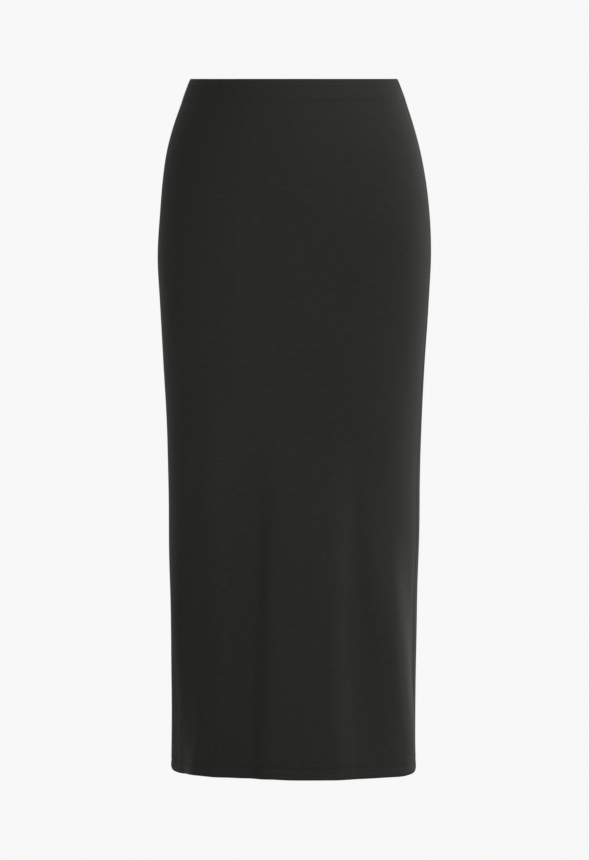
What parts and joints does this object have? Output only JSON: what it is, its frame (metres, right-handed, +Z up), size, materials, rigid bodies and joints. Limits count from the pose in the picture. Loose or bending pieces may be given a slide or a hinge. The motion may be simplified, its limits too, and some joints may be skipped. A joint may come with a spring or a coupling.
{
  "type": "maxi skirt",
  "caption": "Pull-on column maxi skirt of heavy off-black jersey, hollow as worn, with an elastic waist, side seams and a turned-up hem.",
  "frame": {"origin": "the point inside the waist, at the middle of the elastic's depth, on the line through the two side seams at the waist edge", "axes": "+Z up along the skirt, from hem to waist; -Y the way the front of the skirt faces; +X to the right of someone who looks at the front"},
  "size_m": [0.355, 0.2333, 0.9026],
  "materials": {
    "jersey": "matte double-knit jersey with a soft sheen at grazing angles",
    "elastic": "ribbed knitted elastic"
  },
  "bodies": {
    "root": {"front_panel": "jersey", "back_panel": "jersey", "waist_elastic": "elastic"}
  },
  "joints": []
}
